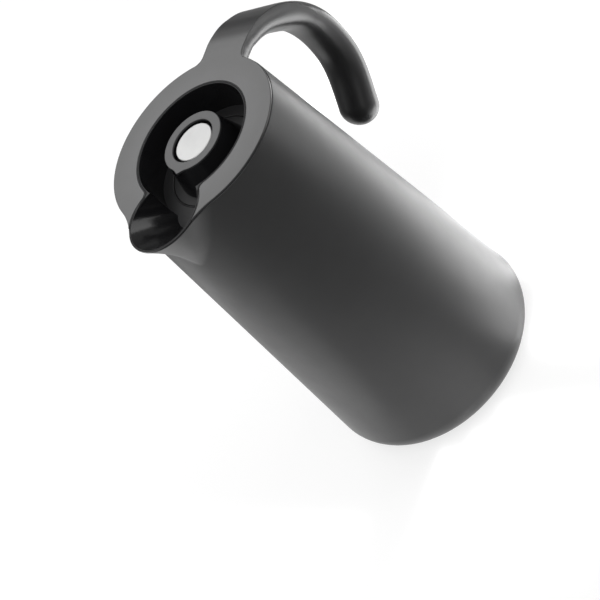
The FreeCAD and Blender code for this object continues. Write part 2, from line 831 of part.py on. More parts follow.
pieces = (
    outer_shell, base_cover, foot_ring, flask_cushion, flask_outer_bottle, flask_inner_bottle,
    flask_spacers, neck_gasket, pour_collar, handle_frame, collar_screws, stopper_cap,
    stopper_body, flange_gasket, valve_guide, valve_seat, return_spring, push_button,
    button_plunger, valve_rod, valve_disc, valve_seal, rod_clip,
)
for piece in pieces:
    save(piece.__name__, piece())
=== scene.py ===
import math

import bmesh
import bpy
from mathutils import Matrix, Vector


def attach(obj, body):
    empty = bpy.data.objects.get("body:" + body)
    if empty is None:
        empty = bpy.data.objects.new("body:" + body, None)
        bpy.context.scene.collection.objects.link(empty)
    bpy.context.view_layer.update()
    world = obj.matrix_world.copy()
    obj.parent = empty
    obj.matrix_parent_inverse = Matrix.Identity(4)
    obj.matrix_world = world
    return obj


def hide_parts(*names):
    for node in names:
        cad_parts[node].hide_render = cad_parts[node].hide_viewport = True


# Vacuum carafe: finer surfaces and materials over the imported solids. Metres, in the solids' frame.
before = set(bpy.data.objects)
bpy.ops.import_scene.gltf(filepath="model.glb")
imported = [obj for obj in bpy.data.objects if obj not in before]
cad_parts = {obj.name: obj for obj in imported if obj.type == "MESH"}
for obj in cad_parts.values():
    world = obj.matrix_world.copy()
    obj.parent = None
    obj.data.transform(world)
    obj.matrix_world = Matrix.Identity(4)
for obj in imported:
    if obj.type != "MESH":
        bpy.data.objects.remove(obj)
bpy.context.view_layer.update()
MM = 0.001

# Sizes that the finer pieces share with the solids, in millimetres
TOP = 222.5
SHELL_TOP = 221.2
RIM = 1.0
BASE_RADIUS = 65.2
TOP_RADIUS = 50.8
SHELL_WALL = 2.4
FOOT = 1.2
EDGE_RADIUS = 14.8
FOOT_GROOVE_INNER = 46.2
FOOT_GROOVE_OUTER = 49.8
FOOT_GROOVE_TOP = 2.1
BASE_HOLE = 43.8
BASE_HOLE_EDGE = 0.5
BASE_COLLAR_TOP = 13.2
SPOUT_REACH = 66.2
SPOUT_RADIUS = 22.2
SPOUT_CENTRE = 44.0
SPOUT_BLEND = 40.0
BEAK_DROP = 34.0
BEAK_FOOT_RADIUS = 9.0
BEAK_CURVE = 1.5
CLEARANCE = 0.15
RING_RADIUS = 50.6
MOUTH_RADIUS = 35.25
MOUTH_END_RADIUS = 22.7
MOUTH_CORNER = 3.85
MOAT_FLOOR = 202.5
MOAT_RADIUS = 34.0
LEDGE_BORE = 37.6
LEDGE_LOW = 206.1
LEDGE_TOP = 208.1
LEDGE_ROOT = 1.2
BOWL_LIP = 21.2
BOWL_FOOT = 13.8
BOWL_FOOT_REACH = 27.0
BOWL_WALL = 1.5
BOWL_RIM = 1.0
COLLAR_TOP = 222.25
COLLAR_RADIUS = 35.1
NECK_DEPTH = 12.0
NECK_HALF_WIDTH = 13.8
NECK_START = 36.35
NECK_JOIN = 55.8
NECK_END = 56.0
WEB_BLEND = 6.0
WEB_CENTRE_X = math.sqrt((RING_RADIUS + WEB_BLEND) ** 2 - (NECK_HALF_WIDTH + WEB_BLEND) ** 2)
HOOK_REACH = 51.6
HOOK_DROP = 96.7
HOOK_THICKNESS = 18.0
HOOK_WIDTH = 27.2
TIP_LENGTH = 11.0
CAP_TOP = 221.2
CAP_SPLIT = 220.2
CAP_HOLE = 12.8
CAP_RADIUS = 17.95
COLUMN_RADIUS = 16.85
COLUMN_TOP = 219.2
TAB_LENGTH = 2.0
TAB_SPREAD = 14.0
TAB_ANGLE = 172.0
BUTTON_RADIUS = 11.5
BUTTON_INNER = 10.9
BUTTON_TOP = 220.14
BUTTON_UNDERSIDE = 219.54
BUTTON_FOOT = 215.94
PLUG_RADIUS = 24.2
THREAD_LEAD = 36.0

# Sizes of the finer pieces alone, in millimetres
EDGE = 0.4
FINE_EDGE = 0.3
CAP_EDGE = 0.35
TAB_POWER = 1.5
SKIRT_FOOT = 22.1
SKIRT_INSET = 0.12
SKIRT_KNEE = 0.9
SKIRT_BEND = 0.5
BUTTON_BEND = 0.7
BUTTON_HOLE = 0.02
LIP_CORNER = 0.3
LIP_INSET = 0.1
LIP_OVERLAP = 0.04
LIP_FOOT = 0.7
LIP_BASE = 0.5
LIP_HEIGHT = 0.56
BEAD_RADIUS = 27.6
BEAD_HALF_WIDTH = 0.35
BEAD_HEIGHT = 0.3
BEAD_FOOT = 0.3
BEAD_DEPTH = 0.2
THREAD_START = 188.9
THREAD_COUNT = 3
THREAD_TURN = math.radians(100)
THREAD_FADE = 12
THREAD_FOOT = 1.1
THREAD_CREST = 0.55
THREAD_RISE = 0.3
THREAD_SUNK = 0.05
CUT_LOW = MOAT_FLOOR - 1.65
CUT_HIGH = TOP + 5

# Hook stations: reach, drop, half thickness, half width, crease height, corner fullness
HOOK_SHARES = (
    (0.000, 0.000, 0.333, 0.507, 1.00, 1.30),
    (0.095, 0.000, 0.328, 0.511, 0.89, 1.26),
    (0.207, 0.009, 0.375, 0.512, 0.66, 1.19),
    (0.406, 0.050, 0.411, 0.507, 0.40, 1.13),
    (0.572, 0.117, 0.408, 0.504, 0.22, 1.09),
    (0.722, 0.199, 0.414, 0.500, 0.10, 1.06),
    (0.860, 0.287, 0.424, 0.492, 0.02, 1.06),
    (0.957, 0.391, 0.456, 0.474, 0.00, 1.06),
    (1.000, 0.501, 0.488, 0.456, 0.00, 1.04),
    (1.000, 0.614, 0.500, 0.449, 0.00, 1.04),
    (0.960, 0.728, 0.506, 0.448, 0.00, 1.04),
    (0.874, 0.831, 0.514, 0.445, 0.00, 1.04),
    (0.757, 0.924, 0.530, 0.438, 0.00, 1.02),
    (0.652, 1.000, 0.544, 0.433, 0.00, 1.00),
)
NECK_CREASE, NECK_CORNER = HOOK_SHARES[0][4:]
# Flat facet on top of the hook: strength, height, bulge of the wall below it, at the stations
# from the first one on. It has faded out at the station after these, and stays out.
FACET_SHARES = (
    (1.00, 1.00, 0.00), (1.00, 0.97, 0.08), (1.00, 0.82, 0.18), (1.00, 0.77, 0.28),
    (1.00, 0.90, 0.32), (0.85, 0.96, 0.25), (0.40, 1.00, 0.12),
)
NO_FACET = (0.00, 1.00, 0.00)
# Fullness of the facet's corners at no height, and what its full height adds
FACET_CORNER = 1.06
FACET_CORNER_GAIN = 0.24
# The crown's inner poles move in by this share of the crease's height
CROWN_LEAN = 0.5
# The crease's round is at most this share of the half width
EDGE_SHARE = 0.1
# The soft edges of the ring take at most these shares of its width
INNER_EDGE_SHARE = 0.3
OUTER_EDGE_SHARE = 0.35
# The loop that closes the hook's tip: its place along the tip, its size against the loop before
CLOSING_REACH_SHARE = 0.9995
CLOSING_SIZE_SHARE = 0.02

# Margins between directions, in radians
TURN_TOLERANCE = 1e-7
TAB_MARGIN = 0.01
# Margins between places, in millimetres
MARK_TOLERANCE = 1e-9
WEB_MARGIN = 0.02
# Mesh clean-up distances, in metres
WELD = 0.00002
DEGENERATE = 0.000001

# How finely curves are cut
SHARP_ANGLE = math.radians(32.0)
ROUND_STEPS = 4
CROWN_STEPS = 18
BELLY_STEPS = 30
HOOK_STEPS = 132
TIP_STEPS = 15
FOOT_STEPS = 14
INNER_FOOT_STEPS = 10
BEAK_STEPS = 36
WALL_STEPS = 12
TAB_STEPS = 16
THREAD_STEPS = 48
LEDGE_TURNS = 144
CUTTER_TURNS = 160
CAP_TURNS = 180
SKIRT_TURNS = 160
BEAD_TURNS = 180
BUTTON_TURNS = 128
HALF_ROUND = range(0, 181, 15)
EDGE_STEPS = [k / 4 for k in range(5)]
PLANAR_ANGLE = math.radians(0.3)
BEVEL_ANGLE = math.radians(35.0)
BEVEL_SEGMENTS = 3


def link(obj):
    bpy.context.scene.collection.objects.link(obj)
    return obj


def finish_mesh(mesh):
    """Weld, orient and shade a mesh: smooth but for its sharp edges."""
    work = bmesh.new()
    work.from_mesh(mesh)
    bmesh.ops.remove_doubles(work, verts=work.verts, dist=WELD)
    bmesh.ops.dissolve_degenerate(work, edges=work.edges, dist=DEGENERATE)
    bmesh.ops.recalc_face_normals(work, faces=work.faces)
    for face in work.faces:
        face.smooth = True
    for edge in work.edges:
        edge.smooth = not (edge.is_manifold and edge.calc_face_angle() > SHARP_ANGLE)
    work.to_mesh(mesh)
    work.free()


def mesh_piece(name, verts, faces):
    """New mesh object from points in millimetres."""
    mesh = bpy.data.meshes.new(name)
    mesh.from_pydata([Vector(v) * MM for v in verts], [], faces)
    finish_mesh(mesh)
    return link(bpy.data.objects.new(name, mesh))


def grid(rows, wrap_columns=True, wrap_rows=False, first=0):
    """Points and quads of a grid of rows, with face indices counted from a first one."""
    count = len(rows[0])
    verts = [point for row in rows for point in row]
    faces = []
    for i in range(len(rows) if wrap_rows else len(rows) - 1):
        for j in range(count if wrap_columns else count - 1):
            low = i * count
            high = (i + 1) % len(rows) * count
            turn = (j + 1) % count
            quad = (low + j, low + turn, high + turn, high + j)
            faces.append(tuple(first + corner for corner in quad))
    return verts, faces


def grid_piece(name, grids):
    """New mesh object from grids of (rows, wrap columns, wrap rows)."""
    verts = []
    faces = []
    for rows, wrap_columns, wrap_rows in grids:
        more_verts, more_faces = grid(rows, wrap_columns, wrap_rows, len(verts))
        verts += more_verts
        faces += more_faces
    return mesh_piece(name, verts, faces)


def weighted(obj):
    shade = obj.modifiers.new("weighted_normals", "WEIGHTED_NORMAL")
    shade.keep_sharp = True


def rounded(corners, steps=6, closed=True):
    """Polyline from (radius, height, corner radius) corners, with arcs at the rounded ones."""
    corners = [tuple(corner) + (0,) * (3 - len(corner)) for corner in corners]
    places = [Vector((r, z)) for r, z, bend in corners]
    line = []
    for i, (r, z, bend) in enumerate(corners):
        last = i in (0, len(corners) - 1)
        if not bend or (last and not closed):
            line.append(places[i])
            continue
        before = (places[i] - places[i - 1]).normalized()
        after = (places[(i + 1) % len(places)] - places[i]).normalized()
        half = before.angle(after) / 2
        leg = bend * math.tan(half)
        centre = places[i] + (after - before).normalized() * (bend / math.cos(half))
        start = places[i] - before * leg - centre
        end = places[i] + after * leg - centre
        for k in range(steps + 1):
            part = k / steps
            mix = start * (1 - part) + end * part
            line.append(centre + mix.normalized() * bend)
    return line


def arc(middle, half_width, low, rise):
    """Half round from left to right over a line, as (radius, height) points."""
    turns = [math.radians(t) for t in HALF_ROUND]
    return [(middle - half_width * math.cos(t), low + rise * math.sin(t)) for t in turns]


def spun(line, a):
    """A line of (radius, height) points, turned to a direction."""
    return [(r * math.cos(a), r * math.sin(a), z) for r, z in line]


def even_turns(count):
    return [2 * math.pi * k / count for k in range(count)]


def lathe_rows(line, turns):
    return [[(r * math.cos(a), r * math.sin(a), z) for a in turns] for r, z in line]


def boolean_cut(obj, cutter):
    """Cut one made piece by another and remove the cutter."""
    modifier = obj.modifiers.new("cut", "BOOLEAN")
    modifier.operation = "DIFFERENCE"
    modifier.solver = "EXACT"
    modifier.object = cutter
    view = bpy.context.evaluated_depsgraph_get()
    result = bpy.data.meshes.new_from_object(obj.evaluated_get(view))
    obj.modifiers.clear()
    old = obj.data
    obj.data = result
    bpy.data.meshes.remove(old)
    used = cutter.data
    bpy.data.objects.remove(cutter)
    bpy.data.meshes.remove(used)


# Outlines: the distance from the vessel axis in a direction, counted from the spout
def keyhole_reach(angle, body, centre, end, blend):
    """A circle with a round end that stands out of it, and a blend between the two."""
    reach = body + blend
    end_reach = end + blend
    cosine = (centre ** 2 + reach ** 2 - end_reach ** 2) / (2 * centre * reach)
    if cosine >= 1:
        return body
    spread = math.acos(cosine)
    if angle >= spread:
        return body
    blend_at = Vector((reach * math.cos(spread), reach * math.sin(spread)))
    toward = (blend_at - Vector((centre, 0))) / end_reach
    touch = Vector((centre, 0)) + toward * end
    if angle > math.atan2(touch.y, touch.x):
        along = blend_at.x * math.cos(angle) + blend_at.y * math.sin(angle)
        return along - math.sqrt(max(blend ** 2 - reach ** 2 + along ** 2, 0))
    along = centre * math.cos(angle)
    return along + math.sqrt(max(end ** 2 - centre ** 2 + along ** 2, 0))


def side_radius(z):
    """Outer radius of the tapered casing at a height."""
    return BASE_RADIUS + (TOP_RADIUS - BASE_RADIUS) * z / TOP


def casing_reach(angle, z, inset):
    """The casing with its beak, which fades out downwards, set in from the outside."""
    share = min((SHELL_TOP - z) / BEAK_DROP, 1)
    radius = side_radius(z)
    tip = radius + (SPOUT_REACH - side_radius(SHELL_TOP)) * (1 - share) ** BEAK_CURVE
    end = SPOUT_RADIUS + (BEAK_FOOT_RADIUS - SPOUT_RADIUS) * share
    return keyhole_reach(angle, radius - inset, tip - end, end - inset, SPOUT_BLEND + inset)


def around():
    """Directions round the axis, from spout to spout and closer together there."""
    spout_side, fine, coarse = 135, 0.5, 1.25
    fine_count = int((180 - spout_side) / fine)
    coarse_count = int(2 * spout_side / coarse)
    turns = [-180 + fine * i for i in range(fine_count)]
    turns += [-spout_side + coarse * i for i in range(coarse_count)]
    turns += [spout_side + fine * i for i in range(fine_count)]
    return [math.radians(turn) for turn in turns]


# Section of the hook: crown above the crease line, full belly below it, fine round at the crease
def bezier(poles, t):
    total = Vector((0, 0))
    last = len(poles) - 1
    for k, pole in enumerate(poles):
        total += pole * (math.comb(last, k) * t ** k * (1 - t) ** (last - k))
    return total


def hook_section(middle, along, sizes, peak_share=1.0, bulge=0.0):
    """Closed loop of points: crown from +Y to -Y, round, belly from -Y to +Y, round.
    The belly's first and last place in it come with it.
    """
    half_thickness, half_width, crease_share, corner_share = sizes
    outward = Vector((-along.z, 0, along.x))
    crease = middle + outward * (half_thickness * crease_share)
    centre_share = (8 - 4 * corner_share) / 3
    belly_height = half_thickness * (1 + crease_share)

    def poles(side, height, reach):
        shape = ((1, 0), (reach, corner_share), (0, centre_share), (-reach, corner_share), (-1, 0))
        return [Vector((side * half_width * x, side * height * rise)) for x, rise in shape]

    def curve(ends, start, steps):
        for k in range(steps + 1):
            flat.append(bezier(ends, start + (1 - 2 * start) * k / steps))

    def rounding(a, corner, b):
        for k in range(1, ROUND_STEPS):
            u = k / ROUND_STEPS
            flat.append(a * (1 - u) ** 2 + corner * (2 * u * (1 - u)) + b * u ** 2)

    crown = poles(1, half_thickness * (peak_share - crease_share), 1 - crease_share * CROWN_LEAN)
    belly = poles(-1, belly_height, 1 + bulge)
    edge = min(EDGE, half_width * EDGE_SHARE)
    crown_start = edge / (2 * half_width)
    belly_start = edge / (4 * corner_share * belly_height)
    flat = []
    curve(crown, crown_start, CROWN_STEPS)
    rounding(flat[-1], crown[-1], bezier(belly, belly_start))
    belly_first = len(flat)
    curve(belly, belly_start, BELLY_STEPS)
    belly_last = len(flat) - 1
    rounding(flat[-1], belly[-1], flat[0])
    loop = [crease + outward * p.y + Vector((0, p.x, 0)) for p in flat]
    return loop, belly_first, belly_last


def neck_section(x, gap=0.0):
    """The neck's section at a distance from the axis, larger by a gap."""
    sizes = (NECK_DEPTH / 2 + gap, NECK_HALF_WIDTH + gap, NECK_CREASE, NECK_CORNER)
    return hook_section(Vector((x, 0, TOP - NECK_DEPTH / 2)), Vector((1, 0, 0)), sizes)


def interval(marks, at):
    """Number of the interval between marks that a value lies in."""
    return max(k for k in range(len(marks) - 1) if marks[k] <= at + MARK_TOLERANCE)


def monotone(marks, values, at):
    """Smooth value between marks that never overshoots them."""
    steps = [marks[i + 1] - marks[i] for i in range(len(marks) - 1)]
    slopes = [(values[i + 1] - values[i]) / steps[i] for i in range(len(steps))]
    tangents = [slopes[0]]
    for i in range(1, len(slopes)):
        product = slopes[i - 1] * slopes[i]
        tangents.append(2 * product / (slopes[i - 1] + slopes[i]) if product > 0 else 0)
    tangents.append(slopes[-1])
    i = interval(marks, at)
    t = (at - marks[i]) / steps[i]
    ease = t * t * (3 - 2 * t)
    lead = steps[i] * t * (1 - t)
    lean = (1 - t) * tangents[i] - t * tangents[i + 1]
    return values[i] * (1 - ease) + values[i + 1] * ease + lead * lean


def spline_moments(marks, values, start_slope):
    """Second derivatives of a cubic spline with a set start slope, leaving along its last chord."""
    n = len(marks)
    upper = [0.0] * n
    right = [0.0] * n
    step = marks[1] - marks[0]
    upper[0] = -0.5
    right[0] = 3 / step * ((values[1] - values[0]) / step - start_slope)
    for i in range(1, n - 1):
        before = marks[i] - marks[i - 1]
        after = marks[i + 1] - marks[i]
        weight = before / (before + after)
        base = weight * upper[i - 1] + 2
        upper[i] = (weight - 1) / base
        bend = (values[i + 1] - values[i]) / after - (values[i] - values[i - 1]) / before
        right[i] = (6 * bend / (before + after) - weight * right[i - 1]) / base
    moments = [0.0] * n
    moments[-1] = -right[n - 2] / (upper[n - 2] + 2)
    for i in range(n - 2, -1, -1):
        moments[i] = upper[i] * moments[i + 1] + right[i]
    return moments


def spline_at(marks, values, moments, at):
    """Value and slope of the spline."""
    i = interval(marks, at)
    step = marks[i + 1] - marks[i]
    a = (marks[i + 1] - at) / step
    b = (at - marks[i]) / step
    curve = ((a ** 3 - a) * moments[i] + (b ** 3 - b) * moments[i + 1]) * step ** 2 / 6
    bend = ((3 * b * b - 1) * moments[i + 1] - (3 * a * a - 1) * moments[i]) * step / 6
    return a * values[i] + b * values[i + 1] + curve, (values[i + 1] - values[i]) / step + bend


def hook_rows():
    """Section loops from the neck to the rounded tip, all with as many points."""
    across = [NECK_END + HOOK_REACH * row[0] for row in HOOK_SHARES]
    heights = [TOP - NECK_DEPTH / 2 - HOOK_DROP * row[1] for row in HOOK_SHARES]
    marks = [0.0]
    for i in range(1, len(across)):
        marks.append(marks[-1] + math.hypot(across[i] - across[i - 1], heights[i] - heights[i - 1]))
    bend_x = spline_moments(marks, across, 1.0)
    bend_z = spline_moments(marks, heights, 0.0)
    scales = (HOOK_THICKNESS, HOOK_WIDTH, 1.0, 1.0)
    tables = [[row[2 + k] * scales[k] for row in HOOK_SHARES] for k in range(4)]
    plain = (NO_FACET,) * (len(HOOK_SHARES) - len(FACET_SHARES))
    facets = [[row[k] for row in FACET_SHARES + plain] for k in range(3)]
    tables[0][0] = NECK_DEPTH / 2
    tables[1][0] = NECK_HALF_WIDTH
    rows = [neck_section(NECK_JOIN)[0]]
    for i in range(HOOK_STEPS + 1):
        at = marks[-1] * i / HOOK_STEPS
        x, slope_x = spline_at(marks, across, bend_x, at)
        z, slope_z = spline_at(marks, heights, bend_z, at)
        along = Vector((slope_x, 0, slope_z)).normalized()
        sizes = [monotone(marks, table, at) for table in tables]
        flat, height, bulge = [monotone(marks, table, at) for table in facets]
        peak = 1 + (height - 1) * flat
        sizes[2] += (height - sizes[2]) * flat
        sizes[3] += (FACET_CORNER + FACET_CORNER_GAIN * height - sizes[3]) * flat
        rows.append(hook_section(Vector((x, 0, z)), along, sizes, peak, bulge)[0])
    end = Vector((x, 0, z))
    for i in range(1, TIP_STEPS):
        turn = math.radians(90 * i / TIP_STEPS)
        shrink = math.cos(turn)
        middle = end + along * (TIP_LENGTH * math.sin(turn))
        smaller = (sizes[0] * shrink, sizes[1] * shrink, sizes[2], sizes[3])
        rows.append(hook_section(middle, along, smaller)[0])
    # The tip closes with a last loop that is nearly a point
    tip = end + along * (TIP_LENGTH * CLOSING_REACH_SHARE)
    rows.append([tip + (p - middle) * CLOSING_SIZE_SHARE for p in rows[-1]])
    return rows


# Ring with its arms beside the spout, drawn from direction to direction
def ring_reach(turn):
    """Outer edge of the ring and the plan blends of its neck; turn is counted from the handle."""
    a = abs(turn)
    corner = math.atan2(NECK_HALF_WIDTH, NECK_JOIN)
    blend_end = math.atan2(NECK_HALF_WIDTH, WEB_CENTRE_X)
    centre = Vector((WEB_CENTRE_X, NECK_HALF_WIDTH + WEB_BLEND))
    if a <= corner + TURN_TOLERANCE:
        return NECK_JOIN / math.cos(a)
    if a <= blend_end:
        return NECK_HALF_WIDTH / math.sin(a)
    if a <= math.atan2(centre.y, centre.x):
        along = centre.x * math.cos(a) + centre.y * math.sin(a)
        return along - math.sqrt(max(WEB_BLEND ** 2 - centre.length_squared + along ** 2, 0))
    return keyhole_reach(math.pi - a, RING_RADIUS, SPOUT_CENTRE, SPOUT_RADIUS, SPOUT_BLEND)


def mouth_reach(turn):
    """Inner edge of the ring; turn is counted from the handle."""
    return keyhole_reach(
        math.pi - abs(turn), MOUTH_RADIUS, SPOUT_CENTRE, MOUTH_END_RADIUS, MOUTH_CORNER)


def ring_turns():
    """Directions from the arm's tip at +Y to the neck's corner."""
    tip_width = 0.02
    halvings = 50
    tip = math.radians(150)
    high = math.radians(160)
    for i in range(halvings):
        middle = (tip + high) / 2
        if ring_reach(middle) - mouth_reach(middle) > tip_width:
            tip = middle
        else:
            high = middle
    turns = []
    turn = tip
    fine, coarse, last = math.radians(0.3), math.radians(1.2), math.radians(0.6)
    arm_end = math.radians(135)
    web_start = math.atan2(NECK_HALF_WIDTH + WEB_BLEND, WEB_CENTRE_X)
    while turn > web_start + last:
        turns.append(turn)
        turn -= fine if turn > arm_end else coarse
    web_end = math.atan2(NECK_HALF_WIDTH, WEB_CENTRE_X)
    web_steps = 16
    for i in range(web_steps + 1):
        turns.append(web_start + (web_end - web_start) * i / web_steps)
    # One more direction just past the blend keeps the neck's straight side square
    turns.append(math.atan2(NECK_HALF_WIDTH, WEB_CENTRE_X + WEB_MARGIN))
    turns.append(math.atan2(NECK_HALF_WIDTH, NECK_JOIN))
    return turns


def rim_edge(place, inward, edge):
    """Soft edge of the ring's top, from its side to the level face."""
    return [
        place + inward * (edge * u * u) + Vector((0, 0, TOP - edge * (1 - u) ** 2))
        for u in EDGE_STEPS]


def ring_grids():
    """Both sides of the ring, and the level face between them at the neck."""
    turns = ring_turns()
    outer = [Vector((math.cos(t), math.sin(t), 0)) * ring_reach(t) for t in turns]
    inner = [Vector((math.cos(t), math.sin(t), 0)) * mouth_reach(t) for t in turns]

    def normals(points):
        found = []
        for i in range(len(points)):
            ahead = points[min(i + 1, len(points) - 1)]
            behind = points[max(i - 1, 0)]
            t = (ahead - behind).normalized()
            found.append(Vector((-t.y, t.x, 0)))
        return found

    # The last three directions stand on the neck's straight side
    outer_normals = normals(outer)
    outer_normals[-3:] = [Vector((0, 1, 0))] * 3
    inner_normals = normals(inner)
    inner_normals[-1] = inner[-1].normalized()
    rim_foot = Vector((0, 0, TOP - RIM))
    rows = []
    for i in range(len(turns)):
        width = (outer[i] - inner[i]).length
        inside = min(FINE_EDGE, INNER_EDGE_SHARE * width)
        outside = min(EDGE, OUTER_EDGE_SHARE * width)
        at_neck = turns[i] < math.atan2(NECK_HALF_WIDTH, WEB_CENTRE_X + WEB_MARGIN / 2)
        depth = outside if at_neck else RIM
        loop = [inner[i] + rim_foot]
        loop += rim_edge(inner[i], inner_normals[i], inside)
        loop += reversed(rim_edge(outer[i], -outer_normals[i], outside))
        loop.append(outer[i] + Vector((0, 0, TOP - depth)))
        loop.append(outer[i] + rim_foot)
        rows.append(loop)
    mirror = [[Vector((p.x, -p.y, p.z)) for p in row] for row in rows]
    # At the neck the level face runs from the mouth's edge to the hook's first section
    face_points = len(EDGE_STEPS) + 2
    neck_rows = [rows[-1][:face_points]]
    for point in neck_section(NECK_JOIN)[0][1:CROWN_STEPS]:
        turn = math.atan2(point.y, NECK_JOIN)
        outward = Vector((math.cos(turn), math.sin(turn), 0))
        at = outward * mouth_reach(turn)
        level = Vector((NECK_JOIN, point.y, TOP))
        neck_rows.append([at + rim_foot] + rim_edge(at, outward, FINE_EDGE) + [level])
    neck_rows.append(mirror[-1][:face_points])
    return [(rows, True, False), (mirror, True, False), (neck_rows, False, False)]


def neck_belly_grid():
    """Underside of the neck, from inside the ring out to the hook."""
    rows = []
    for x in (NECK_START, NECK_JOIN):
        loop, first, last = neck_section(x)
        rows.append(loop[first:last + 1])
    return rows, False, False


def casing_rows():
    """Loops of the casing's outside from its base up, over its rim and down its inside."""
    directions = around()
    beak_foot = SHELL_TOP - BEAK_DROP

    def beak_row(z, inset):
        row = []
        for a in directions:
            reach = casing_reach(math.pi - abs(a), z, inset)
            row.append((reach * math.cos(a), reach * math.sin(a), z))
        return row

    outside = rounded([
        (BASE_HOLE, BASE_COLLAR_TOP), (BASE_HOLE, FOOT, BASE_HOLE_EDGE),
        (FOOT_GROOVE_INNER, FOOT, FINE_EDGE), (FOOT_GROOVE_INNER, FOOT_GROOVE_TOP),
        (FOOT_GROOVE_OUTER, FOOT_GROOVE_TOP), (FOOT_GROOVE_OUTER, FOOT),
        (side_radius(FOOT), FOOT, EDGE_RADIUS), (side_radius(beak_foot), beak_foot)],
        steps=FOOT_STEPS, closed=False)
    rows = lathe_rows(outside[:-1], directions)
    low = outside[-2].y
    for i in range(1, WALL_STEPS):
        z = low + (beak_foot - low) * i / WALL_STEPS
        rows += lathe_rows([Vector((side_radius(z), z))], directions)
    for i in range(BEAK_STEPS + 1):
        rows.append(beak_row(beak_foot + (SHELL_TOP - EDGE - beak_foot) * i / BEAK_STEPS, 0))
    for u in EDGE_STEPS[1:]:
        rows.append(beak_row(SHELL_TOP - EDGE * (1 - u) ** 2, EDGE * u * u))
    for i in range(WALL_STEPS + 1):
        rows.append(beak_row(SHELL_TOP - BEAK_DROP * i / WALL_STEPS, SHELL_WALL))
    inner_foot = FOOT + SHELL_WALL
    inside = rounded([
        (side_radius(beak_foot) - SHELL_WALL, beak_foot),
        (side_radius(inner_foot) - SHELL_WALL, inner_foot, EDGE_RADIUS - SHELL_WALL),
        (FOOT_GROOVE_INNER, inner_foot), (FOOT_GROOVE_INNER, BASE_COLLAR_TOP)],
        steps=INNER_FOOT_STEPS, closed=False)
    return rows + lathe_rows(inside[1:], directions)


def capped(name, rows):
    """A closed piece of loops, with a flat cap at each end."""
    verts, faces = grid(rows)
    count = len(rows[0])
    faces.append(tuple(reversed(range(count))))
    faces.append(tuple(range(len(verts) - count, len(verts))))
    return mesh_piece(name, verts, faces)


def neck_cutter():
    """The neck's section with its clearance, through the casing's rim."""
    ends = (NECK_START, NECK_END + EDGE)
    return capped("neck_cutter", [neck_section(x, CLEARANCE)[0] for x in ends])


def bowl_cutter():
    """The outside of the collar's bowl with its clearance."""
    height = COLLAR_TOP - MOAT_FLOOR
    slope = (BOWL_LIP + BOWL_RIM - BOWL_FOOT - BOWL_WALL) / height
    lean = (SPOUT_CENTRE - BOWL_FOOT_REACH) / height
    turns = even_turns(CUTTER_TURNS)
    rows = []
    for z in (CUT_LOW, CUT_HIGH):
        up = z - MOAT_FLOOR
        radius = BOWL_FOOT + BOWL_WALL + CLEARANCE + slope * up
        middle = -BOWL_FOOT_REACH - lean * up
        rows.append([(middle + radius * math.cos(a), radius * math.sin(a), z) for a in turns])
    return capped("bowl_cutter", rows)


def well_cutter():
    """The outside of the collar's well with its clearance."""
    line = [Vector((COLLAR_RADIUS + CLEARANCE, z)) for z in (CUT_LOW, CUT_HIGH)]
    return capped("well_cutter", lathe_rows(line, even_turns(CUTTER_TURNS)))


def made(obj, body, slot_name, *nodes):
    """A finished piece: it rides on a body and stands for CAD nodes, which it hides; its slot name
    is not used.
    """
    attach(obj, body)
    if nodes:
        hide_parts(*nodes)


# Casing: one smooth skin with its base, cut for the neck, the bowl and the well
casing = grid_piece("casing_skin", [(casing_rows(), True, True)])
for cutter in (neck_cutter(), bowl_cutter(), well_cutter()):
    boolean_cut(casing, cutter)
finish_mesh(casing.data)
weighted(casing)
# The ledge inside it that the collar sits on
ledge_reach = side_radius(LEDGE_TOP) - LEDGE_ROOT
ledge_line = [Vector(p) for p in (
    (LEDGE_BORE, LEDGE_LOW), (LEDGE_BORE, LEDGE_TOP), (ledge_reach, LEDGE_TOP),
    (ledge_reach, LEDGE_LOW))]
ledge_rows = lathe_rows(ledge_line, even_turns(LEDGE_TURNS))
ledge = grid_piece("casing_ledge", [(ledge_rows, True, True)])
boolean_cut(ledge, bowl_cutter())
made(casing, "jug", "shell", "outer_shell")
made(ledge, "jug", "shell")

# Ring, neck and hook: one skin
handle = grid_piece("handle_skin", ring_grids() + [neck_belly_grid(), (hook_rows(), True, False)])
weighted(handle)
made(handle, "jug", "handle", "handle_frame")


def cap_rows():
    """Top of the stopper's ring with its pointed tab, as a loop of the section at each turn."""
    point = math.radians(TAB_ANGLE)
    spread = math.radians(TAB_SPREAD)
    turns = [a for a in even_turns(CAP_TURNS) if abs(a - point) > spread + TAB_MARGIN]
    turns += [point + spread * k / TAB_STEPS for k in range(-TAB_STEPS, TAB_STEPS + 1)]
    insets = [(CAP_EDGE * u * u, CAP_TOP - CAP_EDGE * (1 - u) ** 2) for u in EDGE_STEPS]
    rows = []
    for a in sorted(turns):
        reach = CAP_RADIUS + TAB_LENGTH * max(1 - abs(a - point) / spread, 0) ** TAB_POWER
        line = [(CAP_HOLE, CAP_SPLIT)]
        line += [(CAP_HOLE + inset, z) for inset, z in insets]
        line += [(reach - inset, z) for inset, z in reversed(insets)]
        line.append((reach, CAP_SPLIT))
        rows.append(spun(line, a))
    return rows, True, True


